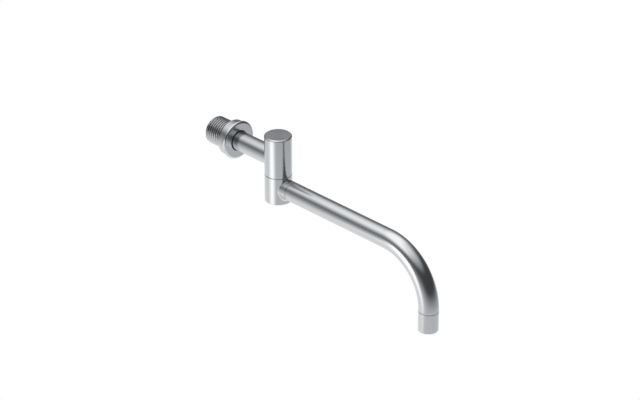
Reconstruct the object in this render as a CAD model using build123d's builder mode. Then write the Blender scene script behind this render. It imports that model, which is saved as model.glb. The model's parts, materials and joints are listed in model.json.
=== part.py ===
from build123d import *
from math import cos, radians
import os

# Wall-mounted swivel spout for a washbasin or sink, in millimetres.
# The origin is where the inlet axis meets the face of the wall.
# +Y points into the wall, +Z is up, and the arm reaches out of the wall along -Y.

# Tubes: the short stub at the wall and the long arm have one size
tube_od = 18.0
tube_wall = 1.5

# Wall nipple: a G 3/4 male thread behind a round collar
thread_od = 26.44
thread_length = 22.8
thread_chamfer = 1.2
thread_relief_od = 24.1
collar_od = 34.0
collar_length = 7.3
hex_drive = 12.0
hex_depth = 5.5
inlet_bore_od = 16.0

# Seal between the collar and the wall
wall_seal_od = 30.8
wall_seal_width = 2.2
wall_seal_depth = 1.35

# Cover plate on the front of the collar, with a hub pressed into the collar
plate_od = 36.2
plate_thickness = 2.2
plate_round = 0.9
hub_wall = 1.7
hub_length = 2.3
wiper_width = 0.7
wiper_inset = 0.3

# Plug on the wall end of the stub tube, which seals in the nipple and shows in the plate
plug_wall = 1.1
plug_inset = 0.1
plug_length = 12.4
plug_socket = 5.4
plug_nose = 2.0
grub_od = 3.0
grub_length = 5.2
grub_key = 1.5
grub_socket = 2.0

# Swivel housings
wall_to_swivel = 60.8
housing_od = 25.0
top_above_inlet = 24.3
seam_below_inlet = 14.2
inlet_to_arm = 26.5
body_below_arm = 14.2
housing_floor = 5.5
arm_socket_reach = 17.2

# Hollow spindle that joins the two housings
spindle_od = 16.9
spindle_core = 10.0
spindle_stud = 12.0
tail_step = 0.45
tail_clear = 0.4
neck_depth = 1.85
neck_height = 9.4
port_od = 7.0
port_count = 4
ring_offset = 9.9
shoulder_above_inlet = 12.1
shoulder_height = 2.0

# What holds the spindle in the upper housing, and the cap over it
washer_od = 18.6
washer_height = 1.0
nut_od = 17.2
nut_height = 3.4
nut_slot = 2.6
nut_slot_depth = 1.5
nut_slot_count = 4
stud_proud = 0.4
cap_height = 1.35
cap_chamfer = 0.9
cap_line = 0.15
cap_spigot = 3.8
cap_seat_wall = 2.9
cap_pocket_wall = 2.9
cap_pocket_depth = 3.0

# Slip ring in the seam, and the pin that limits the swing
slip_od = 18.8
slip_seat = 0.5
swing_limit = 90.0
pin_od = 1.5
pin_circle = 21.5
pin_grip = 4.0
pin_reach = 2.0
pin_track_depth = 2.3

# Spigots that carry the tubes on the housings
spigot_wall = 1.5
spigot_grip = 8.0
spigot_seat = 4.0

# Arm
swivel_to_outlet = 187.0
bend_radius = 50.0
outlet_straight = 0.8

# Outlet sleeve and the bushing that carries it
sleeve_length = 18.8
sleeve_wall = 0.75
ledge_width = 1.4
ledge_height = 2.0
bushing_grip = 3.4
bushing_nose = 6.0
bushing_wall = 1.6
gasket_height = 1.2

# Aerator insert
aerator_recess = 0.9
aerator_wall = 1.2
aerator_step = 1.0
comb_flange = 0.8
comb_cell = 1.9
comb_web = 0.35
comb_rim = 0.5
strainer_height = 1.8
strainer_floor = 0.6
strainer_rim = 0.8
strainer_hole = 1.2
strainer_pitch = 1.9
jet_plate_height = 1.2
jet_hole = 0.9
jet_ring_inner = 3.0
jet_ring_outer = 5.0
jet_count_inner = 6
jet_count_outer = 10
skirt_wall = 0.8

# O-rings, all of one cord
groove_depth = 1.35
groove_width = 2.4
cord_width = 2.0
cord_corner = 0.4

# Clearances and edge breaks
fit_gap = 0.02
bend_fit_gap = 0.05
run_gap = 0.05
face_gap = 0.05
pin_gap = 0.25
seam_gap = 0.35
butt_gap = 0.4
edge_break = 0.3
fine_break = 0.15
foot_break = 0.5

# Radii
tube_radius = tube_od / 2
tube_bore = tube_radius - tube_wall
thread_radius = thread_od / 2
thread_relief = thread_relief_od / 2
collar_radius = collar_od / 2
inlet_bore = inlet_bore_od / 2
wall_seal_outer = wall_seal_od / 2
plug_radius = tube_radius + plug_wall
wiper_bore = plug_radius + fit_gap
wiper_outer = wiper_bore + wiper_width
hub_bore = wiper_outer + fit_gap
hub_outer = hub_bore + hub_wall
housing_radius = housing_od / 2
spindle_radius = spindle_od / 2
housing_bore = spindle_radius + run_gap
tail_radius = spindle_radius - tail_step
stud_radius = spindle_stud / 2
core_radius = spindle_core / 2
neck_radius = spindle_radius - neck_depth
cap_seat = housing_radius - cap_seat_wall
cap_spigot_radius = cap_seat - fit_gap
slip_outer = slip_od / 2
pin_radius = pin_od / 2
pin_track = pin_circle / 2
spigot_radius = tube_bore - fit_gap
spigot_bore = spigot_radius - spigot_wall
sleeve_bore = tube_radius - sleeve_wall
ledge_bore = sleeve_bore - ledge_width
bushing_shank = tube_bore - bend_fit_gap
bushing_bore = bushing_shank - bushing_wall
insert_radius = sleeve_bore - fit_gap
insert_bore = insert_radius - aerator_wall
insert_nose = ledge_bore - fit_gap
insert_mouth = insert_nose - aerator_step
comb_radius = insert_mouth - fit_gap
inner_disc = insert_bore - fit_gap

# Places along the inlet axis
swivel_y = -wall_to_swivel
collar_front = -collar_length
plate_front = collar_front - plate_thickness
plug_front = plate_front + plug_inset
wiper_front = plate_front + wiper_inset
hub_back = collar_front + hub_length
plug_back = hub_back + plug_length
stub_end = hub_back + plug_socket
seat_y = plug_back + face_gap
hex_end = seat_y + hex_depth
plug_groove = plug_back - plug_nose - groove_width / 2
grub_y = (hub_back - wall_seal_depth) / 2

# Heights in the swivel
arm_z = -inlet_to_arm
top_z = top_above_inlet
cap_low = top_z - cap_height
housing_top = cap_low - cap_line
spigot_low = cap_low - cap_spigot
cap_groove = cap_low - cap_spigot / 2
shoulder_low = shoulder_above_inlet
shoulder_high = shoulder_low + shoulder_height
washer_high = shoulder_high + washer_height
nut_low = washer_high + face_gap
nut_high = nut_low + nut_height
stud_high = nut_high + stud_proud
spindle_high = shoulder_low - face_gap
core_high = neck_height / 2
upper_low = -seam_below_inlet + seam_gap / 2
lower_high = -seam_below_inlet - seam_gap / 2
slip_low = lower_high - slip_seat
slip_high = upper_low + slip_seat - face_gap
tail_low = arm_z + spigot_bore + tail_clear
bottom_z = arm_z - body_below_arm
chamber_low = bottom_z + housing_floor

# Places along the arm and down the outlet
socket_end = swivel_y - arm_socket_reach
arm_start = socket_end - butt_gap
outlet_y = swivel_y - swivel_to_outlet
arm_end = arm_z - bend_radius - outlet_straight
sleeve_high = arm_end - butt_gap
sleeve_low = sleeve_high - sleeve_length
bushing_low = sleeve_high - bushing_nose
insert_high = bushing_low - gasket_height
ledge_high = sleeve_low + ledge_height
insert_low = sleeve_low + aerator_recess
step_z = ledge_high + aerator_step
comb_high = step_z + comb_flange
jet_high = insert_high - strainer_height
jet_low = jet_high - jet_plate_height

# Planes and axes. A half section holds a radius across and a height up.
swivel_section = Plane((0, swivel_y, 0), x_dir=(1, 0, 0), z_dir=(0, -1, 0))
swivel_axis = Axis((0, swivel_y, 0), (0, 0, 1))
outlet_section = Plane((0, outlet_y, 0), x_dir=(1, 0, 0), z_dir=(0, -1, 0))
outlet_axis = Axis((0, outlet_y, 0), (0, 0, 1))
inlet_plane = Plane((0, swivel_y, 0), x_dir=(-1, 0, 0), z_dir=(0, 1, 0))
arm_plane = Plane((0, swivel_y, arm_z), x_dir=(1, 0, 0), z_dir=(0, -1, 0))


def swivel_level(height):
    """Level plane with its origin on the swivel axis."""
    return Plane((0, swivel_y, height))


def outlet_level(height):
    """Level plane with its origin on the outlet axis."""
    return Plane((0, outlet_y, height))


def ring_section(plane, inner, outer, middle, width):
    """Half section of a seal ring squeezed in its groove, with its corners taken off."""
    with BuildSketch(plane) as section:
        with Locations(((inner + outer) / 2, middle)):
            Rectangle(outer - inner, width)
        chamfer(section.vertices(), cord_corner)
    return section.sketch


def outer_edges(part, radius):
    """Circular edges of a part with the given radius."""
    rounds = part.edges().filter_by(GeomType.CIRCLE)
    return rounds.filter_by(lambda edge: abs(edge.radius - radius) < fit_gap / 2)


os.makedirs("parts", exist_ok=True)

# Wall nipple: collar, male thread, bore for the plug, key hexagon and inlet bore
with BuildPart() as wall_nipple:
    with BuildSketch(Plane.XY) as nipple_half:
        with BuildLine():
            Polyline(
                (plug_radius + fit_gap, hub_back),
                (hub_outer + fit_gap, hub_back),
                (hub_outer + fit_gap, collar_front),
                (collar_radius, collar_front),
                (collar_radius, 0),
                (wall_seal_outer + fit_gap, 0),
                (wall_seal_outer + fit_gap, -wall_seal_depth),
                (thread_relief, -wall_seal_depth),
                (thread_relief, 0),
                (thread_radius, 0),
                (thread_radius, thread_length - thread_chamfer),
                (thread_radius - thread_chamfer, thread_length),
                (inlet_bore, thread_length),
                (inlet_bore, hex_end),
                (0, hex_end),
                (0, seat_y),
                (plug_radius + fit_gap, seat_y),
                close=True,
            )
        make_face()
    revolve(axis=Axis.Y)
    with BuildSketch(Plane.XZ.offset(-hex_end)):
        RegularPolygon(hex_drive / 2, 6, major_radius=False)
    extrude(amount=hex_depth, mode=Mode.SUBTRACT)
    with BuildSketch(Plane((0, grub_y, 0), x_dir=(1, 0, 0), z_dir=(0, 0, -1))):
        Circle(grub_od / 2)
    extrude(amount=collar_radius, mode=Mode.SUBTRACT)
    chamfer(outer_edges(wall_nipple, collar_radius), fine_break)
wall_nipple.part.label = "wall_nipple"
export_step(wall_nipple.part, "parts/wall_nipple.step")

# Seal ring between the collar and the wall, pressed flush
with BuildPart() as wall_seal:
    revolve(
        ring_section(
            Plane.XY,
            wall_seal_outer - wall_seal_width,
            wall_seal_outer,
            -wall_seal_depth / 2,
            wall_seal_depth,
        ),
        axis=Axis.Y,
    )
wall_seal.part.label = "wall_seal"
export_step(wall_seal.part, "parts/wall_seal.step")

# Cover plate with its rounded rim and the hub that presses into the collar
with BuildPart() as cover_plate:
    with BuildSketch(Plane.XY) as plate_half:
        with BuildLine():
            Polyline(
                (hub_bore, plate_front),
                (plate_od / 2, plate_front),
                (plate_od / 2, collar_front),
                (hub_outer, collar_front),
                (hub_outer, hub_back),
                (hub_bore, hub_back),
                close=True,
            )
        make_face()
    revolve(axis=Axis.Y)
    rim_edges = outer_edges(cover_plate, plate_od / 2).sort_by(Axis.Y)
    fillet(rim_edges[0], plate_round)
    chamfer(rim_edges[-1], fine_break)
    chamfer(outer_edges(cover_plate, hub_outer).sort_by(Axis.Y)[-1], fine_break)
cover_plate.part.label = "cover_plate"
export_step(cover_plate.part, "parts/cover_plate.step")

# Rubber ring in the hub, which closes the gap between the plate and the sleeve of the plug
with BuildPart() as wiper_ring:
    with BuildSketch(Plane.XY) as wiper_half:
        with BuildLine():
            Polyline(
                (wiper_bore, wiper_front),
                (wiper_outer, wiper_front),
                (wiper_outer, hub_back),
                (wiper_bore, hub_back),
                close=True,
            )
        make_face()
    revolve(axis=Axis.Y)
wiper_ring.part.label = "wiper_ring"
export_step(wiper_ring.part, "parts/wiper_ring.step")

# Plug: its sleeve takes the stub tube and its groove carries a seal
with BuildPart() as inlet_plug:
    with BuildSketch(Plane.XY) as plug_half:
        with BuildLine():
            Polyline(
                (tube_radius + fit_gap, plug_front),
                (plug_radius - fine_break, plug_front),
                (plug_radius, plug_front + fine_break),
                (plug_radius, plug_groove - groove_width / 2),
                (plug_radius - groove_depth, plug_groove - groove_width / 2),
                (plug_radius - groove_depth, plug_groove + groove_width / 2),
                (plug_radius, plug_groove + groove_width / 2),
                (plug_radius, plug_back - edge_break),
                (plug_radius - edge_break, plug_back),
                (tube_bore, plug_back),
                (tube_bore, stub_end),
                (tube_radius + fit_gap, stub_end),
                close=True,
            )
        make_face()
    revolve(axis=Axis.Y)
inlet_plug.part.label = "inlet_plug"
export_step(inlet_plug.part, "parts/inlet_plug.step")

# O-ring on the plug
with BuildPart() as plug_ring:
    revolve(
        ring_section(
            Plane.XY,
            plug_radius - groove_depth + fit_gap,
            plug_radius,
            plug_groove,
            cord_width,
        ),
        axis=Axis.Y,
    )
plug_ring.part.label = "plug_ring"
export_step(plug_ring.part, "parts/plug_ring.step")

# Grub screw in the underside of the collar, which holds the plug
with BuildPart() as grub_screw:
    with BuildSketch(Plane((0, grub_y, -plug_radius - fit_gap), z_dir=(0, 0, -1))):
        Circle(grub_od / 2 - fit_gap)
    extrude(amount=grub_length)
    with BuildSketch(grub_screw.faces().sort_by(Axis.Z)[0]):
        RegularPolygon(grub_key / 2, 6, major_radius=False)
    extrude(amount=-grub_socket, mode=Mode.SUBTRACT)
    chamfer(outer_edges(grub_screw, grub_od / 2 - fit_gap), edge_break)
grub_screw.part.label = "grub_screw"
export_step(grub_screw.part, "parts/grub_screw.step")

# Stub tube, its end cut to lie on the round housing
with BuildPart() as stub_tube:
    with BuildSketch(inlet_plane):
        Circle(tube_radius)
        Circle(tube_bore, mode=Mode.SUBTRACT)
    extrude(amount=wall_to_swivel + stub_end)
    with Locations((0, swivel_y, 0)):
        Cylinder(housing_radius, tube_od * 2, mode=Mode.SUBTRACT)
stub_tube.part.label = "stub_tube"
export_step(stub_tube.part, "parts/stub_tube.step")

# Spigot that carries the stub tube on the upper housing
with BuildPart() as stub_spigot:
    with BuildSketch(inlet_plane):
        Circle(spigot_radius)
        Circle(spigot_bore, mode=Mode.SUBTRACT)
    extrude(amount=housing_radius + spigot_grip)
    with Locations((0, swivel_y, 0)):
        Cylinder(housing_bore + edge_break, tube_od * 2, mode=Mode.SUBTRACT)
stub_spigot.part.label = "stub_spigot"
export_step(stub_spigot.part, "parts/stub_spigot.step")

# Upper housing: bearing bore, shoulder, cap seat and the hole for the stub spigot
with BuildPart() as upper_housing:
    with BuildSketch(swivel_section) as upper_half:
        with BuildLine():
            Polyline(
                (housing_bore, slip_high + face_gap),
                (slip_outer + run_gap, slip_high + face_gap),
                (slip_outer + run_gap, upper_low),
                (housing_radius - edge_break, upper_low),
                (housing_radius, upper_low + edge_break),
                (housing_radius, housing_top - fine_break),
                (housing_radius - fine_break, housing_top),
                (cap_seat, housing_top),
                (cap_seat, shoulder_high),
                (stud_radius + run_gap, shoulder_high),
                (stud_radius + run_gap, shoulder_low),
                (housing_bore, shoulder_low),
                close=True,
            )
        make_face()
    revolve(axis=swivel_axis)
    with BuildSketch(inlet_plane):
        Circle(tube_bore)
    extrude(amount=housing_radius, mode=Mode.SUBTRACT)
    with BuildSketch(swivel_level(upper_low)):
        with Locations((0, pin_track)):
            Circle(pin_radius + fit_gap)
    extrude(amount=pin_grip, mode=Mode.SUBTRACT)
upper_housing.part.label = "upper_housing"
export_step(upper_housing.part, "parts/upper_housing.step")

# Stop pin, held in the upper housing and running in a track in the lower one
with BuildPart() as stop_pin:
    with BuildSketch(swivel_level(upper_low + pin_grip)):
        with Locations((0, pin_track)):
            Circle(pin_radius)
    extrude(amount=-(pin_grip + seam_gap + pin_reach))
    chamfer(outer_edges(stop_pin, pin_radius), fine_break)
stop_pin.part.label = "stop_pin"
export_step(stop_pin.part, "parts/stop_pin.step")

# Washer that the spindle nut slides on
with BuildPart() as nut_washer:
    with BuildSketch(swivel_level(shoulder_high)):
        Circle(washer_od / 2)
        Circle(stud_radius + run_gap, mode=Mode.SUBTRACT)
    extrude(amount=washer_height)
nut_washer.part.label = "nut_washer"
export_step(nut_washer.part, "parts/nut_washer.step")

# Slotted nut that holds the spindle up
with BuildPart() as spindle_nut:
    with BuildSketch(swivel_level(nut_low)):
        Circle(nut_od / 2)
        Circle(stud_radius + fit_gap, mode=Mode.SUBTRACT)
    extrude(amount=nut_height)
    with BuildSketch(swivel_level(nut_high)):
        with PolarLocations(nut_od / 2, nut_slot_count):
            Rectangle(nut_slot_depth * 2, nut_slot)
    extrude(amount=-nut_height, mode=Mode.SUBTRACT)
spindle_nut.part.label = "spindle_nut"
export_step(spindle_nut.part, "parts/spindle_nut.step")

# Top cap with its bevelled rim, spigot and seal groove
with BuildPart() as top_cap:
    with BuildSketch(swivel_section) as cap_half:
        with BuildLine():
            Polyline(
                (0, top_z),
                (housing_radius - cap_chamfer, top_z),
                (housing_radius, top_z - cap_chamfer),
                (housing_radius, cap_low + fine_break),
                (housing_radius - fine_break, cap_low),
                (cap_spigot_radius, cap_low),
                (cap_spigot_radius, cap_groove + groove_width / 2),
                (cap_spigot_radius - groove_depth, cap_groove + groove_width / 2),
                (cap_spigot_radius - groove_depth, cap_groove - groove_width / 2),
                (cap_spigot_radius, cap_groove - groove_width / 2),
                (cap_spigot_radius, spigot_low),
                (cap_spigot_radius - cap_pocket_wall, spigot_low),
                (cap_spigot_radius - cap_pocket_wall, spigot_low + cap_pocket_depth),
                (0, spigot_low + cap_pocket_depth),
                close=True,
            )
        make_face()
    revolve(axis=swivel_axis)
top_cap.part.label = "top_cap"
export_step(top_cap.part, "parts/top_cap.step")

# O-ring on the cap
with BuildPart() as cap_ring:
    revolve(
        ring_section(
            swivel_section,
            cap_spigot_radius - groove_depth + fit_gap,
            cap_spigot_radius,
            cap_groove,
            cord_width,
        ),
        axis=swivel_axis,
    )
cap_ring.part.label = "cap_ring"
export_step(cap_ring.part, "parts/cap_ring.step")

# Lower housing: round body, arm socket, water chamber and the track of the stop pin
pin_path = CenterArc((0, 0), pin_track, 90 - swing_limit, 2 * swing_limit)
with BuildPart() as lower_housing:
    with BuildSketch(swivel_section) as lower_half:
        with BuildLine():
            Polyline(
                (0, bottom_z),
                (housing_radius - foot_break, bottom_z),
                (housing_radius, bottom_z + foot_break),
                (housing_radius, lower_high - edge_break),
                (housing_radius - edge_break, lower_high),
                (0, lower_high),
                close=True,
            )
        make_face()
    revolve(axis=swivel_axis)
    with BuildSketch(arm_plane):
        Circle(tube_radius)
    extrude(amount=arm_socket_reach)
    chamfer(outer_edges(lower_housing, tube_radius), fine_break)
    with BuildSketch(swivel_level(lower_high)):
        Circle(tail_radius + fit_gap)
    extrude(amount=chamber_low - lower_high, mode=Mode.SUBTRACT)
    with BuildSketch(swivel_level(lower_high)):
        Circle(slip_outer + fit_gap)
    extrude(amount=-slip_seat, mode=Mode.SUBTRACT)
    with BuildSketch(arm_plane):
        Circle(spigot_bore)
    extrude(amount=arm_socket_reach, mode=Mode.SUBTRACT)
    with BuildSketch(arm_plane.offset(arm_socket_reach)):
        Circle(tube_bore)
    extrude(amount=-spigot_seat, mode=Mode.SUBTRACT)
    with BuildSketch(swivel_level(lower_high)):
        SlotArc(pin_path, pin_od + 2 * pin_gap)
    extrude(amount=-pin_track_depth, mode=Mode.SUBTRACT)
lower_housing.part.label = "lower_housing"
export_step(lower_housing.part, "parts/lower_housing.step")

# Slip ring that keeps the two housings apart at the seam
with BuildPart() as slip_ring:
    with BuildSketch(swivel_level(slip_low)):
        Circle(slip_outer)
        Circle(spindle_radius + fit_gap, mode=Mode.SUBTRACT)
    extrude(amount=slip_high - slip_low)
slip_ring.part.label = "slip_ring"
export_step(slip_ring.part, "parts/slip_ring.step")

# Spindle: turned profile, blind core and the ports in its neck
with BuildPart() as spindle:
    with BuildSketch(swivel_section) as spindle_half:
        with BuildLine():
            Polyline(
                (core_radius, tail_low),
                (tail_radius, tail_low),
                (tail_radius, slip_low),
                (spindle_radius, slip_low),
                (spindle_radius, -ring_offset - groove_width / 2),
                (spindle_radius - groove_depth, -ring_offset - groove_width / 2),
                (spindle_radius - groove_depth, -ring_offset + groove_width / 2),
                (spindle_radius, -ring_offset + groove_width / 2),
                (spindle_radius, -neck_height / 2),
                (neck_radius, -neck_height / 2),
                (neck_radius, neck_height / 2),
                (spindle_radius, neck_height / 2),
                (spindle_radius, ring_offset - groove_width / 2),
                (spindle_radius - groove_depth, ring_offset - groove_width / 2),
                (spindle_radius - groove_depth, ring_offset + groove_width / 2),
                (spindle_radius, ring_offset + groove_width / 2),
                (spindle_radius, spindle_high),
                (stud_radius, spindle_high),
                (stud_radius, stud_high - fine_break),
                (stud_radius - fine_break, stud_high),
                (0, stud_high),
                (0, core_high),
                (core_radius, core_high),
                close=True,
            )
        make_face()
    revolve(axis=swivel_axis)
    for turn in range(port_count):
        heading = 45 + 360 * turn / port_count
        with BuildSketch(Plane((0, swivel_y, 0), z_dir=Vector(1, 0, 0).rotate(Axis.Z, heading))):
            Circle(port_od / 2)
        extrude(amount=spindle_radius, mode=Mode.SUBTRACT)
spindle.part.label = "spindle"
export_step(spindle.part, "parts/spindle.step")

# The two O-rings of the spindle
with BuildPart() as spindle_rings:
    for height in (-ring_offset, ring_offset):
        revolve(
            ring_section(
                swivel_section,
                spindle_radius - groove_depth + fit_gap,
                spindle_radius,
                height,
                cord_width,
            ),
            axis=swivel_axis,
        )
spindle_rings.part.label = "spindle_rings"
export_step(spindle_rings.part, "parts/spindle_rings.step")

# Spigot that carries the arm tube on the lower housing
with BuildPart() as arm_spigot:
    with BuildSketch(arm_plane.offset(arm_socket_reach - spigot_seat)):
        Circle(spigot_radius)
        Circle(spigot_bore, mode=Mode.SUBTRACT)
    extrude(amount=spigot_seat + butt_gap + spigot_grip)
arm_spigot.part.label = "arm_spigot"
export_step(arm_spigot.part, "parts/arm_spigot.step")

# Arm tube: straight out of the socket, then bent down to the outlet
with BuildPart() as arm_tube:
    with BuildLine() as arm_route:
        FilletPolyline(
            (0, arm_start, arm_z),
            (0, outlet_y, arm_z),
            (0, outlet_y, arm_end),
            radius=bend_radius,
        )
    with BuildSketch(arm_plane.offset(swivel_y - arm_start)):
        Circle(tube_radius)
        Circle(tube_bore, mode=Mode.SUBTRACT)
    sweep()
    chamfer(outer_edges(arm_tube, tube_radius), fine_break)
arm_tube.part.label = "arm_tube"
export_step(arm_tube.part, "parts/arm_tube.step")

# Bushing in the end of the arm tube, whose nose carries the outlet sleeve
with BuildPart() as outlet_bushing:
    with BuildSketch(outlet_section) as bushing_half:
        with BuildLine():
            Polyline(
                (bushing_bore, arm_end + bushing_grip),
                (bushing_shank, arm_end + bushing_grip),
                (bushing_shank, arm_end),
                (sleeve_bore - fit_gap, arm_end),
                (sleeve_bore - fit_gap, bushing_low),
                (bushing_bore, bushing_low),
                close=True,
            )
        make_face()
    revolve(axis=outlet_axis)
outlet_bushing.part.label = "outlet_bushing"
export_step(outlet_bushing.part, "parts/outlet_bushing.step")

# Outlet sleeve, with an inner ledge that holds the aerator insert
with BuildPart() as outlet_sleeve:
    with BuildSketch(outlet_section) as sleeve_half:
        with BuildLine():
            Polyline(
                (sleeve_bore, sleeve_high),
                (tube_radius - edge_break, sleeve_high),
                (tube_radius, sleeve_high - edge_break),
                (tube_radius, sleeve_low + foot_break),
                (tube_radius - foot_break, sleeve_low),
                (ledge_bore + edge_break, sleeve_low),
                (ledge_bore, sleeve_low + edge_break),
                (ledge_bore, ledge_high),
                (sleeve_bore, ledge_high),
                close=True,
            )
        make_face()
    revolve(axis=outlet_axis)
outlet_sleeve.part.label = "outlet_sleeve"
export_step(outlet_sleeve.part, "parts/outlet_sleeve.step")

# Flat gasket between the bushing and the aerator insert
with BuildPart() as outlet_gasket:
    with BuildSketch(outlet_level(insert_high)):
        Circle(insert_radius)
        Circle(bushing_bore, mode=Mode.SUBTRACT)
    extrude(amount=gasket_height)
outlet_gasket.part.label = "outlet_gasket"
export_step(outlet_gasket.part, "parts/outlet_gasket.step")

# Aerator cup, which stands on the ledge and shows its mouth below
with BuildPart() as aerator_cup:
    with BuildSketch(outlet_section) as cup_half:
        with BuildLine():
            Polyline(
                (insert_bore, insert_high),
                (insert_radius, insert_high),
                (insert_radius, ledge_high),
                (insert_nose, ledge_high),
                (insert_nose, insert_low),
                (insert_mouth, insert_low),
                (insert_mouth, step_z),
                (insert_bore, step_z),
                close=True,
            )
        make_face()
    revolve(axis=outlet_axis)
aerator_cup.part.label = "aerator_cup"
export_step(aerator_cup.part, "parts/aerator_cup.step")

# Honeycomb that straightens the jet
cell_apothem = (comb_cell + comb_web) / 2
cell_reach = comb_radius - comb_rim - comb_cell / 2 / cos(radians(30))
with BuildPart() as outlet_comb:
    with BuildSketch(outlet_level(insert_low)):
        Circle(comb_radius)
    extrude(amount=step_z - insert_low)
    with BuildSketch(outlet_level(step_z)):
        Circle(inner_disc)
    extrude(amount=comb_flange)
    with BuildSketch(outlet_level(insert_low)):
        with HexLocations(cell_apothem, 7, 7) as comb_grid:
            cells = [cell for cell in comb_grid.local_locations if cell.position.length < cell_reach]
        with Locations(*cells):
            RegularPolygon(comb_cell / 2, 6, major_radius=False, rotation=30)
    extrude(amount=comb_high - insert_low, mode=Mode.SUBTRACT)
outlet_comb.part.label = "outlet_comb"
export_step(outlet_comb.part, "parts/outlet_comb.step")

# Jet plate on its skirt, with two rings of small holes
with BuildPart() as jet_plate:
    with BuildSketch(outlet_level(comb_high)):
        Circle(inner_disc)
        Circle(inner_disc - skirt_wall, mode=Mode.SUBTRACT)
    extrude(amount=jet_low - comb_high)
    with BuildSketch(outlet_level(jet_low)):
        Circle(inner_disc)
        with PolarLocations(jet_ring_inner, jet_count_inner):
            RegularPolygon(jet_hole / 2, 6, mode=Mode.SUBTRACT)
        with PolarLocations(jet_ring_outer, jet_count_outer):
            RegularPolygon(jet_hole / 2, 6, mode=Mode.SUBTRACT)
    extrude(amount=jet_plate_height)
jet_plate.part.label = "jet_plate"
export_step(jet_plate.part, "parts/jet_plate.step")

# Strainer over the jet plate
strainer_reach = inner_disc - strainer_rim - strainer_hole / 2
with BuildPart() as strainer:
    with BuildSketch(outlet_level(jet_high)):
        Circle(inner_disc)
        with HexLocations(strainer_pitch / 2, 9, 9) as strainer_grid:
            holes = [hole for hole in strainer_grid.local_locations if hole.position.length < strainer_reach]
        with Locations(*holes):
            RegularPolygon(strainer_hole / 2, 6, mode=Mode.SUBTRACT)
    extrude(amount=strainer_floor)
    with BuildSketch(outlet_level(jet_high + strainer_floor)):
        Circle(inner_disc)
        Circle(inner_disc - strainer_rim, mode=Mode.SUBTRACT)
    extrude(amount=strainer_height - strainer_floor)
strainer.part.label = "strainer"
export_step(strainer.part, "parts/strainer.step")
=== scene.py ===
import json
import math

import bmesh
import bpy
from mathutils import Matrix, Vector


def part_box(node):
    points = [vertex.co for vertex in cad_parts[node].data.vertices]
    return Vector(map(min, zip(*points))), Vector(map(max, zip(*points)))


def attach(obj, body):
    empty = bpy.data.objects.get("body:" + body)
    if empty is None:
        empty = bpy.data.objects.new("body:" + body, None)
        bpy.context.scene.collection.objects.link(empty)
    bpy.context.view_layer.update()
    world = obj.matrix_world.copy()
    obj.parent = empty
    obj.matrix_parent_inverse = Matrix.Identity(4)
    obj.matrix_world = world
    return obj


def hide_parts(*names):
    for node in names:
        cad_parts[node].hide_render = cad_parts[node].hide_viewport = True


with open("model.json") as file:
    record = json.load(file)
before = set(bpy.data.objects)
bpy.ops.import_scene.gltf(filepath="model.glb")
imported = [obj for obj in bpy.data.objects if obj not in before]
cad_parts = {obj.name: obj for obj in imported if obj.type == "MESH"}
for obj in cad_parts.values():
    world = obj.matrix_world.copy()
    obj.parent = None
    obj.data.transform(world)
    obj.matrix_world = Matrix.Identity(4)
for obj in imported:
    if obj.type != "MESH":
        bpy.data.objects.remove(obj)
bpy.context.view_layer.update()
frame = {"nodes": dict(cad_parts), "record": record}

MM = 0.001
TURN = 2 * math.pi

# Steps round a turn and along the curves
ROUND_STEPS = 144
THREAD_STEPS = 180
CORNER_STEPS = 6
PLATE_EDGE_STEPS = 12
SOCKET_FILLET_STEPS = 12
STRAIGHT_STEPS = 12
BEND_STEPS = 60

# A rounding takes at most this share of a side, and vertices nearer than this distance become one
SIDE_SHARE = 0.45
SAME_PLACE = 1e-7

# How far in from both faces the middle of a round edge lies, as a share of its size
EDGE_MIDDLE = 0.3

# Range in which most values of a noise field lie
FIELD_LOW = 0.3
FIELD_HIGH = 0.7

# Sizes and places read from the frame
stub_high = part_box("stub_tube")[1]
housing_low, housing_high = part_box("upper_housing")
lower_low, lower_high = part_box("lower_housing")
cap_low, cap_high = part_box("top_cap")
plate_low, plate_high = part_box("cover_plate")
wiper_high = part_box("wiper_ring")[1]
nipple_low, nipple_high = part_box("wall_nipple")
seal_low, seal_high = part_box("wall_seal")
plug_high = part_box("inlet_plug")[1]
plug_ring_low, plug_ring_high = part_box("plug_ring")
slip_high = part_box("slip_ring")[1]
spindle_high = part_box("spindle")[1]
cap_ring_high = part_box("cap_ring")[1]
arm_low, arm_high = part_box("arm_tube")
arm_spigot_low, arm_spigot_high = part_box("arm_spigot")
sleeve_low, sleeve_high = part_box("outlet_sleeve")
cup_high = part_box("aerator_cup")[1]

tube_radius = stub_high.x
tube_bore = arm_spigot_high.x
housing_radius = housing_high.x
housing_bore = spindle_high.x
collar_radius = nipple_high.x
thread_end = nipple_high.y
swivel_y = (housing_low.y + housing_high.y) / 2
arm_z = (arm_spigot_low.z + arm_spigot_high.z) / 2
outlet_y = (sleeve_low.y + sleeve_high.y) / 2

# Sizes that the frame doesn't give, the same as in the part's source
plate_thickness = 2.2 * MM
hub_wall = 1.7 * MM
plug_groove = 1.35 * MM
groove_gap = 0.2 * MM
cap_rim = 1.35 * MM
cap_bevel = 0.9 * MM
thread_radius = 13.22 * MM
thread_relief = 12.05 * MM
thread_bevel = 1.2 * MM
inlet_bore = 8 * MM
hex_apothem = 6 * MM
hex_depth = 5.5 * MM
slip_seat = 0.5 * MM
bend_radius = 50 * MM
ledge_bore = 6.85 * MM
ledge_height = 2 * MM

arm_straight = arm_high.y - (outlet_y + bend_radius)
arm_arc = bend_radius * math.pi / 2

# Lift that keeps two surfaces apart
skin_lift = 0.02 * MM

# Depth of the cap's seat, straight length at the socket's mouth, and the socket's end inside the body
cap_seat_depth = 9 * MM
socket_mouth = 2 * MM
socket_sink = 1 * MM

# Soft fillets where the tubes meet the housing. The socket's grows towards its underside.
stub_fillet = 0.25 * MM
socket_fillet = 0.25 * MM
socket_fillet_growth = 2.4 * MM

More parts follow.
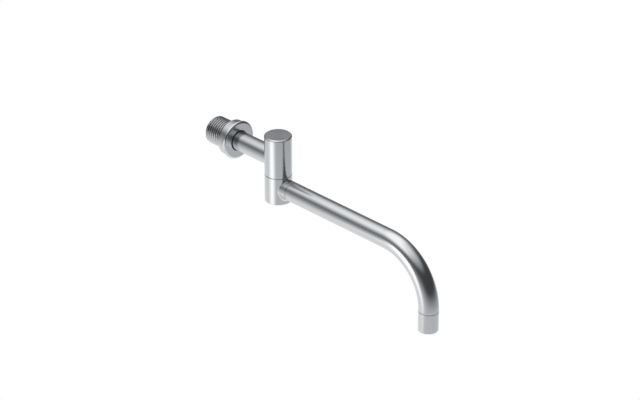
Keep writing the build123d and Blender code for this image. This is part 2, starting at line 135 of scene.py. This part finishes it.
# Bevel at the bore's mouth, and roundings of the edges
bore_bevel = 0.4 * MM
fine_edge = 0.1 * MM
collar_front_edge = 0.15 * MM
collar_back_edge = 0.25 * MM
lip_edge = 0.12 * MM
plate_back_edge = 0.15 * MM
plug_back_edge = 0.3 * MM
seam_edge = 0.3 * MM
housing_top_edge = 0.16 * MM
cap_top_edge = 0.2 * MM
cap_bevel_edge = 0.25 * MM
cap_rim_edge = 0.12 * MM
cap_foot_edge = 0.15 * MM
slip_edge = 0.05 * MM
body_foot_edge = 0.5 * MM
socket_edge = 0.25 * MM
tube_edge = 0.25 * MM
sleeve_top_edge = 0.3 * MM
sleeve_foot_edge = 0.45 * MM
ledge_edge = 0.3 * MM

# The plate's round edge and the narrow dark ring round the stub, as the photograph shows them
plate_round = 1.95 * MM
lip_bore = 9.9 * MM
lip_depth = 0.85 * MM
ring_depth = 0.3 * MM

# The thread, with the crest spacing that the photograph shows
thread_pitch = 2.5 * MM
thread_depth = 1.2 * MM
thread_runout = 1 * MM

# One thread form: (share of the pitch, share of the depth)
thread_profile = (
    (0, 0), (0.1, 0), (0.22, 0.34), (0.34, 0.68),
    (0.45, 1), (0.55, 1), (0.7, 0.67), (0.85, 0.33),
)

# Behind the collar, the nipple has the thread's material, with painted shade in its valleys and a painted
# highlight on its crests, outside this radius
painted_thread_light_radius = inlet_bore + 1 * MM


def value_at(item, turn):
    """A number, or a function of the turn."""
    return item(turn) if callable(item) else item


def curve(first, middle, last, share):
    """Place on the curve that leaves first towards middle and comes to last from there."""
    return (1 - share) ** 2 * first + 2 * share * (1 - share) * middle + share ** 2 * last


def soften(corners):
    """Closed outline of (radius, along) points. A corner's third value is its rounding."""
    points = []
    for index, corner in enumerate(corners):
        here = Vector(corner[:2])
        if len(corner) < 3:
            points.append(here)
            continue
        before = Vector(corners[index - 1][:2]) - here
        after = Vector(corners[(index + 1) % len(corners)][:2]) - here
        reach = min(corner[2], SIDE_SHARE * before.length, SIDE_SHARE * after.length)
        first = here + before.normalized() * reach
        last = here + after.normalized() * reach
        points += [curve(first, here, last, step / CORNER_STEPS) for step in range(CORNER_STEPS + 1)]
    return [(point.x, point.y) for point in points]


def about_z(centre_y):
    """Place on a round piece whose axis is upright."""
    def place(radius, turn, along):
        return Vector((radius * math.cos(turn), centre_y + radius * math.sin(turn), along))
    return place


def about_y(centre_z):
    """Place on a round piece whose axis is level and points to the wall."""
    def place(radius, turn, along):
        return Vector((radius * math.cos(turn), along, centre_z + radius * math.sin(turn)))
    return place


def arm_place(radius, turn, along):
    """Place on the arm, whose length runs from its start in the socket to the outlet."""
    angle = min(max((along - arm_straight) / bend_radius, 0), math.pi / 2)
    before_bend = min(along, arm_straight)
    after_bend = max(along - arm_straight - arm_arc, 0)
    centre = Vector((
        0,
        arm_high.y - before_bend - bend_radius * math.sin(angle),
        arm_z - bend_radius * (1 - math.cos(angle)) - after_bend,
    ))
    outer = Vector((0, -math.sin(angle), math.cos(angle)))
    return centre + radius * (math.cos(turn) * Vector((1, 0, 0)) + math.sin(turn) * outer)


inlet_place = about_y(0)
socket_place = about_y(arm_z)
swivel_place = about_z(swivel_y)
outlet_place = about_z(outlet_y)


def rings_of(outline, place):
    """Ring functions of an outline, whose values may be functions of the turn."""
    def ring(radius, along):
        return lambda turn: place(value_at(radius, turn), turn, value_at(along, turn))
    return [ring(radius, along) for radius, along in outline]


def bead(radius, side, centre_z, reach, steps=CORNER_STEPS):
    """Rings of the fillet where a level tube meets the upright housing.

    side is 1 towards the wall and -1 towards the arm. The reach may be a function of the turn."""
    def surface(x):
        return swivel_y + side * (math.sqrt(housing_radius ** 2 - x ** 2) - skin_lift)

    def ring(share):
        def point(turn):
            size = value_at(reach, turn)
            x = radius * math.cos(turn)
            z = centre_z + radius * math.sin(turn)
            meeting = Vector((x, surface(x), z))
            first = meeting + Vector((0, side * size, 0))
            out_x = x + size * math.cos(turn)
            last = Vector((out_x, surface(out_x), z + size * math.sin(turn)))
            return curve(first, meeting, last, share)
        return point
    return [ring(step / steps) for step in range(steps + 1)]


def add_object(name, data):
    """Object of the data, put into the scene."""
    item = bpy.data.objects.new(name, data)
    bpy.context.scene.collection.objects.link(item)
    return item


def add_mesh(name, mesh, material):
    """Object of a finished mesh in one material."""
    data = bpy.data.meshes.new(name)
    mesh.to_mesh(data)
    mesh.free()
    data.materials.append(material)
    return add_object(name, data)


def skin(name, rings, material, steps=ROUND_STEPS, closed=True, helix=None):
    """Mesh through a row of rings. It stores the length along the row for the finish.

    A helix is (first, last, shift). After a full turn, each ring from first to last runs on into the
    ring that lies shift places before it."""
    mesh = bmesh.new()
    layer = mesh.verts.layers.float.new("along")
    uv = mesh.loops.layers.uv.new("UVMap")
    rows = []
    length = 0
    previous = None
    for ring in rings:
        row = [mesh.verts.new(ring(TURN * step / steps)) for step in range(steps)]
        if previous:
            length += max((row[k].co - previous[k].co).length for k in (0, steps // 4, steps // 2))
        for vert in row:
            vert[layer] = length
        rows.append(row)
        previous = row

    def run_on(index):
        """Row that carries the row on past a full turn."""
        if not helix:
            return rows[index]
        first, last, shift = helix
        return rows[max(index - shift, first)] if first <= index <= last else rows[index]
    pairs = [(index, index + 1) for index in range(len(rows) - 1)]
    if closed:
        pairs.append((len(rows) - 1, 0))
    for down, (near, far) in enumerate(pairs):
        for step in range(steps):
            after = (step + 1) % steps
            near_row = rows[near] if after else run_on(near)
            far_row = rows[far] if after else run_on(far)
            corners = {
                rows[near][step]: (step, down),
                near_row[after]: (step + 1, down),
                far_row[after]: (step + 1, down + 1),
                rows[far][step]: (step, down + 1),
            }
            face = mesh.faces.new(list(corners))
            face.smooth = True
            for loop, (across, deep) in zip(face.loops, corners.values()):
                loop[uv].uv = (across / steps, deep / len(pairs))
    bmesh.ops.remove_doubles(mesh, verts=mesh.verts, dist=SAME_PLACE)
    bmesh.ops.recalc_face_normals(mesh, faces=mesh.faces)
    piece = add_mesh(name, mesh, material)
    weighted = piece.modifiers.new("weighted", "WEIGHTED_NORMAL")
    weighted.weight = 100
    return piece


def stand_for(piece, body, slot, *nodes):
    """The piece rides on the body and is shown in place of the nodes."""
    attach(piece, body)
    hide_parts(*nodes)


# Finishes

# Grain of the metal: the lines' spacing, how soon they drift, their share, and the clouds of its polish
line_spacing = 0.12 * MM
line_drift = 9 * MM
line_share = 0.6
polish_size = 14 * MM
# Grain of the cut thread
cut_size = 1.5 * MM
cut_height = 0.003 * MM


class Nodes:
    """Short way to build a node tree."""

    def __init__(self, tree):
        self.tree = tree
        tree.nodes.clear()

    def add(self, kind, inputs=None, **settings):
        """Node whose inputs are values or the sockets that feed them."""
        node = self.tree.nodes.new(kind)
        for name, value in settings.items():
            setattr(node, name, value)
        for name, value in (inputs or {}).items():
            if isinstance(value, bpy.types.NodeSocket):
                self.tree.links.new(value, node.inputs[name])
            else:
                node.inputs[name].default_value = value
        return node

    def math(self, operation, first, second=0.0):
        return self.add("ShaderNodeMath", {0: first, 1: second}, operation=operation).outputs[0]

    def vector(self, operation, first, second=(0, 0, 0)):
        node = self.add("ShaderNodeVectorMath", {0: first, 1: second}, operation=operation)
        return node.outputs["Value" if operation in ("LENGTH", "DOT_PRODUCT") else "Vector"]

    def remap(self, value, start, end, low, high, **settings):
        """The range from start to end, stretched over the range from low to high."""
        inputs = {0: value, 1: start, 2: end, 3: low, 4: high}
        return self.add("ShaderNodeMapRange", inputs, **settings).outputs[0]

    def show(self, node, kind="ShaderNodeOutputMaterial"):
        """The tree's result."""
        self.add(kind, {0: node.outputs[0]})


def new_material(name):
    material = bpy.data.materials.new(name)
    material.use_nodes = True
    return material, Nodes(material.node_tree)


def line_field(nodes, spacing, drift):
    """Noise drawn out into fine lines that run round a turned piece."""
    along = nodes.add("ShaderNodeAttribute", attribute_name="along")
    place = nodes.add("ShaderNodeTexCoord")
    split = nodes.add("ShaderNodeSeparateXYZ", {0: place.outputs["Object"]})
    across = nodes.math("MULTIPLY", nodes.math("ADD", split.outputs[0], split.outputs[2]), 1 / drift)
    deep = nodes.math("MULTIPLY", split.outputs[1], 1 / drift)
    fast = nodes.math("MULTIPLY", along.outputs["Fac"], 1 / spacing)
    vector = nodes.add("ShaderNodeCombineXYZ", {0: across, 1: deep, 2: fast})
    return nodes.add(
        "ShaderNodeTexNoise",
        {"Vector": vector.outputs[0], "Scale": 1.0, "Detail": 3.0, "Roughness": 0.6},
    ).outputs[0]


def cloud_field(nodes, size, detail):
    """Soft blotches of about the given size."""
    place = nodes.add("ShaderNodeTexCoord")
    return nodes.add(
        "ShaderNodeTexNoise",
        {"Vector": place.outputs["Object"], "Scale": 1 / size, "Detail": detail},
    ).outputs[0]


def grey_pair(nodes, field, dark, light):
    """Colour that goes from dark to light over the field's middle range."""
    ramp = nodes.add("ShaderNodeValToRGB", {0: field})
    for element, place, colour in zip(ramp.color_ramp.elements, (FIELD_LOW, FIELD_HIGH), (dark, light)):
        element.position = place
        element.color = (*colour, 1)
    return ramp.outputs[0]


def polish(nodes, field, rough):
    """Roughness that goes from the first to the second value over the field's middle range."""
    return nodes.remap(field, FIELD_LOW, FIELD_HIGH, *rough)


def bumps(nodes, field, height):
    """Normal of a surface that rises with the field, up to the height."""
    return nodes.add("ShaderNodeBump", {"Strength": 1.0, "Distance": height, "Height": field}).outputs[0]


def metal(name, dark, light, rough, line_height, grain):
    """Satin metal with fine turning lines and slightly uneven polish."""
    material, nodes = new_material(name)
    lines = line_field(nodes, line_spacing, line_drift)
    clouds = cloud_field(nodes, polish_size, detail=2.0)
    line_part = nodes.math("MULTIPLY", lines, line_share)
    cloud_part = nodes.math("MULTIPLY", clouds, 1 - line_share)
    mixed = nodes.math("ADD", line_part, cloud_part)
    nodes.show(nodes.add("ShaderNodeBsdfPrincipled", {
        "Base Color": grey_pair(nodes, mixed, dark, light),
        "Metallic": 1.0,
        "Roughness": polish(nodes, mixed, rough),
        "Anisotropic": grain,
        "Normal": bumps(nodes, lines, line_height),
        "Tangent": nodes.add("ShaderNodeTangent", direction_type="UV_MAP").outputs[0],
    }))
    return material


def thread_metal_painted_light(name, root, tip, rough):
    """Cut thread with painted light: a painted highlight on its crests and painted shade in its valleys,
    by the distance from the inlet axis.
    """
    material, nodes = new_material(name)
    place = nodes.add("ShaderNodeTexCoord").outputs["Object"]
    radius = nodes.vector("LENGTH", nodes.vector("MULTIPLY", place, (1, 0, 1)))
    # Painted light: the base colour goes from painted valley shade at the root to a painted crest
    # highlight at the tip
    height = nodes.remap(radius, thread_radius - thread_depth, thread_radius, FIELD_LOW, FIELD_HIGH)
    clouds = cloud_field(nodes, cut_size, detail=3.0)
    nodes.show(nodes.add("ShaderNodeBsdfPrincipled", {
        "Base Color": grey_pair(nodes, height, root, tip),
        "Metallic": 1.0,
        "Roughness": polish(nodes, clouds, rough),
        "Normal": bumps(nodes, clouds, cut_height),
    }))
    return material


def soft_matter(name, dark, light, rough, size, height):
    """Rubber or moulded plastic with a fine uneven skin."""
    material, nodes = new_material(name)
    clouds = cloud_field(nodes, size, detail=4.0)
    nodes.show(nodes.add("ShaderNodeBsdfPrincipled", {
        "Base Color": grey_pair(nodes, clouds, dark, light),
        "Roughness": polish(nodes, clouds, rough),
        "Normal": bumps(nodes, clouds, height),
    }))
    return material


finishes = {
    "satin_steel": metal(
        "satin_steel", dark=(0.675, 0.687, 0.699), light=(0.71, 0.722, 0.734),
        rough=(0.19, 0.24), line_height=0.0003 * MM, grain=0.3,
    ),
    "turned_steel": metal(
        "turned_steel", dark=(0.5, 0.51, 0.52), light=(0.62, 0.63, 0.64),
        rough=(0.24, 0.36), line_height=0.001 * MM, grain=0.0,
    ),
    "turned_brass": metal(
        "turned_brass", dark=(0.62, 0.45, 0.2), light=(0.78, 0.6, 0.3),
        rough=(0.22, 0.36), line_height=0.001 * MM, grain=0.0,
    ),
    "black_rubber": soft_matter(
        "black_rubber", dark=(0.012, 0.012, 0.012), light=(0.03, 0.03, 0.03),
        rough=(0.5, 0.7), size=0.6 * MM, height=0.01 * MM,
    ),
    "bearing_plastic": soft_matter(
        "bearing_plastic", dark=(0.72, 0.72, 0.68), light=(0.8, 0.8, 0.76),
        rough=(0.35, 0.5), size=0.8 * MM, height=0.004 * MM,
    ),
    "insert_plastic": soft_matter(
        "insert_plastic", dark=(0.36, 0.375, 0.4), light=(0.46, 0.475, 0.5),
        rough=(0.32, 0.48), size=0.5 * MM, height=0.004 * MM,
    ),
}
steel = finishes["satin_steel"]
# Thread material whose colour is painted light: root is painted shade in the valleys, tip a painted
# highlight on the crests
thread_steel_painted_light = thread_metal_painted_light(
    "thread_steel_painted_light", root=(0.15, 0.155, 0.163), tip=(0.84, 0.85, 0.86), rough=(0.2, 0.3),
)

for row in frame["record"]["subparts"]:
    cad_node = frame["nodes"][row["node"]]
    cad_node.data.materials.clear()
    cad_node.data.materials.append(finishes[row["material_slot"]])


# Pieces


def hexagon(turn):
    """Radius of the key hexagon at a turn."""
    side = TURN / 6
    return hex_apothem / math.cos((turn + side / 2) % side - side / 2)


def thread_ring(index):
    """Ring of the thread. It follows the right-handed helix and stays within the thread's length."""
    turns, place = divmod(index, len(thread_profile))
    phase, height = thread_profile[place]

    def point(turn):
        along = min(max((turns + phase - turn / TURN) * thread_pitch, 0), thread_end)
        start = min(along / thread_runout, 1)
        tip = max(along - (thread_end - thread_bevel), 0)
        full = thread_radius - thread_depth * (1 - height) * start
        return inlet_place(min(full, thread_radius - tip), turn, along)
    return point


def make_nipple():
    """Collar and thread. The rings run over the collar and the thread, and back through the bore."""
    hub_radius = wiper_high.x + hub_wall + 2 * skin_lift
    hub_back = wiper_high.y
    collar_front = nipple_low.y
    seal_radius = seal_high.x + skin_lift
    plug_radius = plug_high.x + skin_lift
    key_start = plug_high.y
    key_end = key_start + hex_depth
    collar = soften([
        (hub_radius, hub_back),
        (hub_radius, collar_front, fine_edge),
        (collar_radius, collar_front, collar_front_edge),
        (collar_radius, 0, collar_back_edge),
        (seal_radius, 0, fine_edge),
        (seal_radius, seal_low.y),
        (thread_relief, seal_low.y),
        (thread_relief, 0),
        (thread_radius, 0),
    ])
    form_rings = len(thread_profile)
    thread_rings = form_rings * math.ceil(thread_end / thread_pitch + 1)
    thread = [thread_ring(index) for index in range(thread_rings + 1)]
    bore = [
        (thread_radius - thread_bevel, thread_end),
        (inlet_bore + bore_bevel, thread_end),
        (inlet_bore, thread_end - bore_bevel),
        (inlet_bore, key_end),
        (hexagon, key_end),
        (hexagon, key_start),
        (plug_radius, key_start),
        (plug_radius, hub_back),
    ]
    rings = rings_of(collar, inlet_place) + thread + rings_of(bore, inlet_place)
    helix = (len(collar), len(collar) + thread_rings, form_rings)
    piece = skin("nipple_body", rings, steel, THREAD_STEPS, helix=helix)
    piece.data.materials.append(thread_steel_painted_light)
    for face in piece.data.polygons:
        radius = math.hypot(face.center.x, face.center.z)
        # Thread faces take the material with painted valley shade and painted crest highlights
        if face.center.y > 0 and radius > painted_thread_light_radius:
            face.material_index = 1
            face.use_smooth = False
    stand_for(piece, "base", "satin_steel", "wall_nipple")


def make_plate():
    seat = wiper_high.x + skin_lift
    hub_radius = seat + hub_wall
    back = plate_low.y + plate_thickness
    lip_back = plate_low.y + lip_depth
    centre = (plate_high.x - plate_round, plate_low.y + plate_round)
    rim = []
    for step in range(PLATE_EDGE_STEPS + 1):
        angle = math.pi / 2 * step / PLATE_EDGE_STEPS
        radius = centre[0] + plate_round * math.sin(angle)
        rim.append((radius, centre[1] - plate_round * math.cos(angle)))
    outline = soften([
        (seat, plate_high.y),
        (seat, lip_back),
        (lip_bore, lip_back),
        (lip_bore, plate_low.y, lip_edge),
        *rim,
        (plate_high.x, back, plate_back_edge),
        (hub_radius, back),
        (hub_radius, plate_high.y, fine_edge),
    ])
    piece = skin("plate_disc", rings_of(outline, inlet_place), steel)
    stand_for(piece, "base", "satin_steel", "cover_plate")


def make_wiper():
    """Dark ring. It lies behind the plate's lip and shows between the lip and the stub."""
    inner = plug_high.x + skin_lift
    ring_bore = tube_radius + skin_lift
    ring_outer = lip_bore - skin_lift
    ring_front = plate_low.y + ring_depth
    lip_back = plate_low.y + lip_depth + skin_lift
    outline = soften([
        (inner, wiper_high.y),
        (inner, lip_back),
        (ring_bore, lip_back),
        (ring_bore, ring_front, fine_edge),
        (ring_outer, ring_front, fine_edge),
        (ring_outer, lip_back),
        (wiper_high.x, lip_back),
        (wiper_high.x, wiper_high.y),
    ])
    piece = skin("wiper_bead", rings_of(outline, inlet_place), finishes["black_rubber"])
    stand_for(piece, "base", "black_rubber", "wiper_ring")


def make_plug():
    socket = tube_radius + skin_lift
    outer = plug_high.x
    groove = outer - plug_groove
    groove_front = plug_ring_low.y - groove_gap
    groove_back = plug_ring_high.y + groove_gap
    front = plate_low.y + lip_depth + 2 * skin_lift
    outline = soften([
        (socket, front, fine_edge),
        (outer, front, fine_edge),
        (outer, groove_front),
        (groove, groove_front),
        (groove, groove_back),
        (outer, groove_back),
        (outer, plug_high.y, plug_back_edge),
        (tube_bore, plug_high.y),
        (tube_bore, stub_high.y),
        (socket, stub_high.y),
    ])
    piece = skin("plug_sleeve", rings_of(outline, inlet_place), finishes["turned_steel"])
    stand_for(piece, "base", "turned_steel", "inlet_plug")


def make_stub():
    def inner_end(turn):
        """Where the bore meets the housing."""
        return swivel_y + math.sqrt(housing_radius ** 2 - (tube_bore * math.cos(turn)) ** 2)
    inside = [(tube_bore, inner_end), (tube_bore, stub_high.y), (tube_radius, stub_high.y)]
    rings = rings_of(inside, inlet_place) + bead(tube_radius, 1, 0, stub_fillet)
    piece = skin("stub_pipe", rings, steel)
    stand_for(piece, "base", "satin_steel", "stub_tube")


def make_upper_housing():
    seat = cap_ring_high.x + skin_lift
    seat_foot = housing_high.z - cap_seat_depth
    outline = soften([
        (housing_bore, housing_low.z),
        (housing_radius, housing_low.z, seam_edge),
        (housing_radius, housing_high.z, housing_top_edge),
        (seat, housing_high.z, fine_edge),
        (seat, seat_foot),
        (housing_bore, seat_foot),
    ])
    piece = skin("housing_shell", rings_of(outline, swivel_place), steel)
    stand_for(piece, "base", "satin_steel", "upper_housing")


def make_cap():
    spigot = cap_ring_high.x
    rim = cap_high.z - cap_rim
    outline = soften([
        (0, cap_high.z),
        (housing_radius - cap_bevel, cap_high.z, cap_top_edge),
        (housing_radius, cap_high.z - cap_bevel, cap_bevel_edge),
        (housing_radius, rim, cap_rim_edge),
        (spigot, rim),
        (spigot, cap_low.z, cap_foot_edge),
        (0, cap_low.z),
    ])
    piece = skin("cap_lid", rings_of(outline, swivel_place), steel)
    stand_for(piece, "base", "satin_steel", "top_cap")


def make_lower_housing():
    """Closed lower body, and the arm's socket: an open skin from the body's surface back into the body."""
    outline = soften([
        (0, lower_low.z),
        (housing_radius, lower_low.z, body_foot_edge),
        (housing_radius, lower_high.z, seam_edge),
        (slip_high.x, lower_high.z, slip_edge),
        (slip_high.x, lower_high.z - slip_seat),
        (0, lower_high.z - slip_seat),
    ])
    body = skin("lower_shell", rings_of(outline, swivel_place), steel)

    def fillet(turn):
        """Size of the fillet at a turn, largest at the underside."""
        return socket_fillet + socket_fillet_growth * max(-math.sin(turn), 0)
    socket_end = swivel_y - math.sqrt(housing_radius ** 2 - tube_radius ** 2) + socket_sink
    mouth = soften([
        (tube_radius, lower_low.y + socket_mouth),
        (tube_radius, lower_low.y, socket_edge),
        (tube_bore, lower_low.y, fine_edge),
        (tube_bore, socket_end),
    ])
    root = bead(tube_radius, -1, arm_z, fillet, SOCKET_FILLET_STEPS)
    rings = root[::-1] + rings_of(mouth, socket_place)
    socket = skin("arm_socket", rings, steel, closed=False)
    stand_for(body, "arm", "satin_steel", "lower_housing")
    stand_for(socket, "arm", "satin_steel", "lower_housing")


def make_arm():
    """Bent tube. Its outline runs along the outside to the outlet and back through the bore."""
    drop = arm_z - bend_radius - arm_low.z
    length = arm_straight + arm_arc + drop
    straight = [arm_straight * step / STRAIGHT_STEPS for step in range(1, STRAIGHT_STEPS)]
    bend = [arm_straight + arm_arc * step / BEND_STEPS for step in range(BEND_STEPS + 1)]
    stops = straight + bend
    middle = EDGE_MIDDLE * tube_edge
    start = [(tube_radius - tube_edge, 0), (tube_radius - middle, middle), (tube_radius, tube_edge)]
    end = [(radius, length - along) for radius, along in reversed(start)]
    outside = start + [(tube_radius, stop) for stop in stops] + end
    inside = [(tube_bore, stop) for stop in [length, *reversed(stops), 0]]
    piece = skin("arm_pipe", rings_of(outside + inside, arm_place), steel)
    stand_for(piece, "arm", "satin_steel", "arm_tube")


def make_sleeve():
    ledge = sleeve_low.z + ledge_height
    outline = soften([
        (cup_high.x, sleeve_high.z, fine_edge),
        (tube_radius, sleeve_high.z, sleeve_top_edge),
        (tube_radius, sleeve_low.z, sleeve_foot_edge),
        (ledge_bore, sleeve_low.z, ledge_edge),
        (ledge_bore, ledge),
        (cup_high.x, ledge),
    ])
    piece = skin("sleeve_shell", rings_of(outline, outlet_place), steel)
    stand_for(piece, "arm", "satin_steel", "outlet_sleeve")


make_nipple()
make_plate()
make_wiper()
make_plug()
make_stub()
make_upper_housing()
make_cap()
make_lower_housing()
make_arm()
make_sleeve()


# Studio: floor, wall, light cards, lamp and camera. None of it belongs to the object.

studio_centre = (0, -0.15, -0.045)
floor_z = -0.5
floor_radius = 30
floor_grey = (0.8, 0.8, 0.8, 1)
wall_radius = 2.5
wall_foot = 0.25
world_level = 0.75
white = (1, 1, 1, 1)

# Each side of the studio has a dark band at eye height, with light below and above it. Its edges are the
# elevations between which the light fades, in degrees, and the first number is the side's azimuth.
front_light = dict(band=0.06, below=1.0, above=1.0, lower_edge=(-50, 0), upper_edge=(34, 75))
studio_sides = (
    (45, dict(band=0.17, below=0.9, above=1.3, lower_edge=(-18, -13), upper_edge=(24, 62))),
    (138, dict(band=0.2, below=0.9, above=1.3, lower_edge=(-30, 16), upper_edge=(26, 56))),
    (178, dict(band=0.1, below=0.9, above=1.3, lower_edge=(-60, 22), upper_edge=(36, 57))),
    (245, front_light),
    (322, front_light),
)

# How sharply one side gives way to the next, the least that a side faces a place, and the tint of the dark
side_power = 5.0
least_facing = 0.01
studio_tint = 0.04

# Camera of the photograph, found by fitting the object's edges
camera_azimuth = math.radians(-44.436)
camera_elevation = math.radians(28.505)
camera_place = (-1.2876, -1.4274, 0.9777)
focal_pixels = 2363.413
photo_width = 640


def stage_object(name, mesh, material):
    item = add_mesh(name, mesh, material)
    return item


def turn_to(item, place, way, axis="-Z"):
    """Puts the item at the place, with its axis turned the given way."""
    item.location = place
    item.rotation_euler = Vector(way).to_track_quat(axis, "Y").to_euler()


def for_metal_only(item):
    """Only reflections show the item, and it neither lights the object nor casts a shadow."""
    item.visible_camera = False
    item.visible_diffuse = False
    item.visible_shadow = False


def shown_rays(nodes):
    """What marks the rays that show the background: camera rays, and glossy or transmission rays."""
    path = nodes.add("ShaderNodeLightPath")
    glossy = nodes.math("MAXIMUM", path.outputs["Is Glossy Ray"], path.outputs["Is Transmission Ray"])
    return path.outputs["Is Camera Ray"], glossy


def side_level(nodes, degrees, band, below, above, lower_edge, upper_edge):
    """Level of one side of the studio at an elevation."""
    under = nodes.remap(degrees, *lower_edge, below - band, 0.0)
    over = nodes.remap(degrees, *upper_edge, 0.0, above - band)
    return nodes.math("ADD", nodes.math("ADD", under, over), band)


def studio_level(nodes):
    """Level of a place in the studio, by the direction in which it lies from the object."""
    place = nodes.add("ShaderNodeNewGeometry").outputs["Position"]
    way = nodes.vector("SUBTRACT", place, studio_centre)
    flat = nodes.vector("MULTIPLY", way, (1, 1, 0))
    across = nodes.vector("LENGTH", flat)
    heading = nodes.vector("NORMALIZE", flat)
    height = nodes.add("ShaderNodeSeparateXYZ", {0: way}).outputs[2]
    degrees = nodes.math("MULTIPLY", nodes.math("ARCTAN2", height, across), 180 / math.pi)
    total = 0.0
    shares = 0.0
    for azimuth, light in studio_sides:
        side = (math.cos(math.radians(azimuth)), math.sin(math.radians(azimuth)), 0)
        facing = nodes.math("MAXIMUM", nodes.vector("DOT_PRODUCT", heading, side), least_facing)
        share = nodes.math("POWER", facing, side_power)
        level = nodes.math("MULTIPLY", side_level(nodes, degrees, **light), share)
        total = nodes.math("ADD", total, level)
        shares = nodes.math("ADD", shares, share)
    return nodes.math("DIVIDE", total, shares)


def cool_grey(nodes, level):
    """Colour of a level, slightly blue where it is dark."""
    lack = nodes.math("MULTIPLY", nodes.math("SUBTRACT", 1.0, level), studio_tint)
    red = nodes.math("MULTIPLY", level, nodes.math("SUBTRACT", 1.0, lack))
    blue = nodes.math("MULTIPLY", level, nodes.math("ADD", lack, 1.0))
    return nodes.add("ShaderNodeCombineXYZ", {0: red, 1: level, 2: blue}).outputs[0]


def floor_material():
    """Pale floor, which the metal sees at the level of its side of the studio."""
    material, nodes = new_material("floor")
    camera, glossy = shown_rays(nodes)
    colour = nodes.vector("MAXIMUM", cool_grey(nodes, studio_level(nodes)), camera)
    diffuse = nodes.add("ShaderNodeBsdfDiffuse", {"Color": floor_grey})
    glow = nodes.add("ShaderNodeEmission", {"Color": colour, "Strength": 1.0})
    share = nodes.math("MAXIMUM", camera, glossy)
    nodes.show(nodes.add("ShaderNodeMixShader", {0: share, 1: diffuse.outputs[0], 2: glow.outputs[0]}))
    return material


def wall_material():
    """Studio wall that the metal mirrors: dim at eye height, light above and below."""
    material, nodes = new_material("studio_wall")
    colour = cool_grey(nodes, studio_level(nodes))
    nodes.show(nodes.add("ShaderNodeEmission", {"Color": colour, "Strength": 1.0}))
    return material


def card_material(level):
    """Light card that is brightest in its middle and fades out to its rim."""
    material, nodes = new_material("light_card")
    away = nodes.vector("LENGTH", nodes.add("ShaderNodeTexCoord").outputs["Object"])
    fade = nodes.remap(away, 1.0, 0.0, 0.0, 1.0, interpolation_type="SMOOTHSTEP")
    clear = nodes.add("ShaderNodeBsdfTransparent")
    glow = nodes.add("ShaderNodeEmission", {"Color": white, "Strength": level})
    nodes.show(nodes.add("ShaderNodeMixShader", {0: fade, 1: clear.outputs[0], 2: glow.outputs[0]}))
    return material


def make_floor():
    mesh = bmesh.new()
    bmesh.ops.create_circle(mesh, cap_ends=True, radius=floor_radius, segments=64,
                            matrix=Matrix.Translation((0, 0, floor_z)))
    stage_object("floor", mesh, floor_material())


def make_wall():
    """Dome round the studio's centre, from a little below the floor to the ceiling."""
    mesh = bmesh.new()
    bmesh.ops.create_uvsphere(mesh, u_segments=96, v_segments=48, radius=wall_radius,
                              matrix=Matrix.Translation(studio_centre))
    below = [vert for vert in mesh.verts if vert.co.z < floor_z - wall_foot]
    bmesh.ops.delete(mesh, geom=below, context="VERTS")
    for_metal_only(stage_object("studio_wall", mesh, wall_material()))


def make_card(place, aim, reach, level):
    """Soft light card that only the metal sees. Its mesh has a radius of 1 and is scaled to its reach."""
    mesh = bmesh.new()
    bmesh.ops.create_circle(mesh, cap_ends=True, radius=1, segments=48)
    card = stage_object("light_card", mesh, card_material(level))
    card.scale = reach
    turn_to(card, place, Vector(aim) - Vector(place), "Z")
    for_metal_only(card)


def make_lamp(name, place, aim, size, radiance):
    """Round lamp of a given radiance, which neither the camera nor the metal sees."""
    data = bpy.data.lights.new(name, "AREA")
    data.shape = "DISK"
    data.size = size
    data.energy = radiance * math.pi * math.pi * (size / 2) ** 2
    lamp = add_object(name, data)
    turn_to(lamp, place, Vector(aim) - Vector(place))
    lamp.visible_camera = False
    lamp.visible_glossy = False


def make_world():
    """White world where the background shows, and a dimmer one for all other light."""
    world = bpy.data.worlds.new("studio")
    bpy.context.scene.world = world
    world.use_nodes = True
    nodes = Nodes(world.node_tree)
    camera, glossy = shown_rays(nodes)
    shown = nodes.math("MAXIMUM", camera, glossy)
    strength = nodes.remap(shown, 0.0, 1.0, world_level, 1.0)
    background = nodes.add("ShaderNodeBackground", {"Color": white, "Strength": strength})
    nodes.show(background, "ShaderNodeOutputWorld")


def make_camera():
    """Camera at the photograph's viewing angle."""
    data = bpy.data.cameras.new("camera")
    data.sensor_width = 36
    data.lens = focal_pixels / photo_width * data.sensor_width
    data.clip_start = 0.05
    camera = add_object("camera", data)
    back = Vector((
        math.sin(camera_azimuth) * math.cos(camera_elevation),
        -math.cos(camera_azimuth) * math.cos(camera_elevation),
        math.sin(camera_elevation),
    ))
    turn_to(camera, camera_place, -back)
    bpy.context.scene.camera = camera


make_floor()
make_wall()
make_card(place=(-0.43, -0.01, -0.24), aim=(0, swivel_y, 0), reach=(0.31, 0.17, 1), level=1.55)
make_card(place=(-0.7, 0.02, -0.1), aim=(0, -0.22, -0.04), reach=(0.3, 0.27, 1), level=2.8)
make_lamp("top_lamp", place=(-0.4, -0.6, 1.6), aim=(0, -0.13, 0), size=0.9, radiance=0.75)
make_world()
make_camera()
bpy.context.scene.view_settings.view_transform = "Standard"
